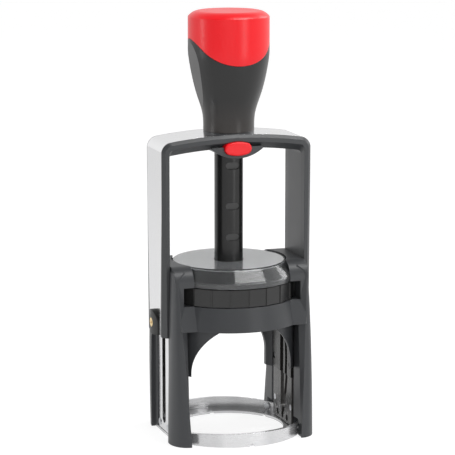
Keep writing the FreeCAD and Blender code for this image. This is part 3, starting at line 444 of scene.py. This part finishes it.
def coiled_spring(material):
    """The return spring as one round wire."""
    low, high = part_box("return_spring")
    wire = 0.6 * MM
    coil = (high[0] - low[0]) / 2 - wire
    start, end = low[2] + wire, high[2] - wire
    turns, per_turn, sides = 20, 36, 8
    closed_share = 0.04
    steps = turns * per_turn
    rings = []
    for step in range(steps + 1):
        angle = 2 * math.pi * step / per_turn
        rise = (step / steps - closed_share) / (1 - 2 * closed_share)
        rise = min(1.0, max(0.0, rise))
        outward = Vector((math.cos(angle), math.sin(angle), 0))
        centre = outward * coil + Vector((0, 0, start + (end - start) * rise))
        section = [2 * math.pi * side / sides for side in range(sides)]
        rings.append([centre + wire * (outward * math.cos(t) + Vector((0, 0, math.sin(t)))) for t in section])
    piece = closed_piece("return_spring_coil", rings, material)
    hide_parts("return_spring")
    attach(piece, "base")
    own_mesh(piece)


# ---------------------------------------------------------------- stage


def floor():
    """A plain white floor: it glows to the camera and throws a softer light on the object."""
    half = 3.0
    drop = 0.2 * MM
    corners = [(-half, -half, 0), (half, -half, 0), (half, half, 0), (-half, half, 0)]
    mesh = bpy.data.meshes.new("floor")
    mesh.from_pydata(corners, [], [(0, 1, 2, 3)])
    piece = bpy.data.objects.new("floor", mesh)
    piece.location.z = -drop
    bpy.context.scene.collection.objects.link(piece)
    s = Shader("pale_floor")
    mottle = s.noise(3.0, 3.0)
    path = s.add("ShaderNodeLightPath")
    seen = s.remap(path.outputs["Is Camera Ray"], 0.35, 0.82)
    mirrored = s.remap(path.outputs["Is Glossy Ray"], 0.0, 0.25)
    s.feed({
        "Base Color": s.mix(mottle, (0.30, 0.30, 0.30), (0.32, 0.32, 0.32)),
        "Roughness": s.remap(mottle, 0.55, 0.65),
        "Specular IOR Level": 0.05,
        "Emission Color": (1, 1, 1, 1),
        "Emission Strength": s.calculate("ADD", seen, mirrored),
    })
    mesh.materials.append(s.material)


def studio_world():
    """White to the camera; to the object, a room that is dim in front and overhead, and bright around."""
    world = bpy.data.worlds.new("studio")
    bpy.context.scene.world = world
    world.use_nodes = True
    tree = world.node_tree
    tree.nodes.clear()
    direction = add_node(tree, "ShaderNodeTexCoord").outputs["Generated"]
    turn = {"Vector": direction, "Angle": math.radians(CAMERA_AZIMUTH)}
    turned = add_node(tree, "ShaderNodeVectorRotate", turn, rotation_type="Z_AXIS").outputs["Vector"]
    split = add_node(tree, "ShaderNodeSeparateXYZ", {"Vector": turned})
    depth = add_range(tree, split.outputs["Y"], 0.0, 1.0, -1.0, 1.0)
    ramp = add_node(tree, "ShaderNodeValToRGB", {"Fac": depth})
    stops = ramp.color_ramp.elements
    for position, _ in STUDIO_TONES[1:-1]:
        stops.new(position)
    for stop, (_, tone) in zip(stops, STUDIO_TONES):
        stop.color = (tone, tone, tone, 1)
    overhead = add_range(tree, split.outputs["Z"], 1.0, 0.4, 0.35, 0.85)
    lit = add_node(tree, "ShaderNodeBackground", {"Color": ramp.outputs["Color"], "Strength": overhead})
    seen = add_node(tree, "ShaderNodeBackground", {"Color": (1, 1, 1, 1)})
    is_camera = add_node(tree, "ShaderNodeLightPath").outputs["Is Camera Ray"]
    chosen = {0: is_camera, 1: lit.outputs["Background"], 2: seen.outputs["Background"]}
    mix = add_node(tree, "ShaderNodeMixShader", chosen)
    add_node(tree, "ShaderNodeOutputWorld", {"Surface": mix.outputs["Shader"]})


def area_light(name, location, size, power, along=(0, 0, 0)):
    """A rectangular lamp aimed at the object; its first side lies along a given or a level direction."""
    light = bpy.data.lights.new(name, "AREA")
    light.shape = "RECTANGLE"
    light.size, light.size_y = size
    light.energy = power
    lamp = bpy.data.objects.new(name, light)
    back = (Vector(location) - LIGHT_AIM).normalized()
    across = Vector(along) if any(along) else Vector((0, 0, 1)).cross(back)
    across = (across - back * across.dot(back)).normalized()
    turn = Matrix((across, back.cross(across), back)).transposed()
    lamp.matrix_world = Matrix.Translation(location) @ turn.to_4x4()
    bpy.context.scene.collection.objects.link(lamp)
    return lamp


def lighting():
    """The studio, a soft lamp above, three for the edges, and a fill that no surface mirrors."""
    studio_world()
    area_light("softbox", (0.33, -0.28, 0.96), (0.7, 0.28), 5.0, (0.63, 0.22, -0.17))
    area_light("right_strip", (0.45, -0.89, 0.2), (0.12, 0.5), 1.2)
    area_light("left_strip", (-0.95, 0.1, 0.35), (0.08, 0.7), 1.5)
    area_light("rim", (0.8, 0.35, 0.5), (0.3, 0.6), 2.0)
    fill = area_light("fill", (-0.35, -1.2, 0.5), (1.0, 0.8), 7.0)
    fill.visible_glossy = False
    bpy.context.scene.view_settings.view_transform = "Standard"


def camera():
    """The photograph's view, as the constants at the top give it."""
    azimuth, pitch = math.radians(CAMERA_AZIMUTH), math.radians(CAMERA_PITCH)
    data = bpy.data.cameras.new("camera")
    data.lens = CAMERA_LENS
    data.sensor_width = CAMERA_SENSOR
    data.clip_end = 20.0
    view = bpy.data.objects.new("camera", data)
    x, y = -CAMERA_DISTANCE * math.sin(azimuth), -CAMERA_DISTANCE * math.cos(azimuth)
    view.location = (x, y, CAMERA_HEIGHT)
    view.rotation_euler = (math.pi / 2 - pitch, 0, -azimuth + math.radians(CAMERA_TURN))
    bpy.context.scene.collection.objects.link(view)
    bpy.context.scene.camera = view


materials = slot_materials()
dress_cad_pieces(materials)
pad_foam(materials["pad_foam"])
coiled_spring(materials["spring_steel"])
floor()
lighting()
camera()
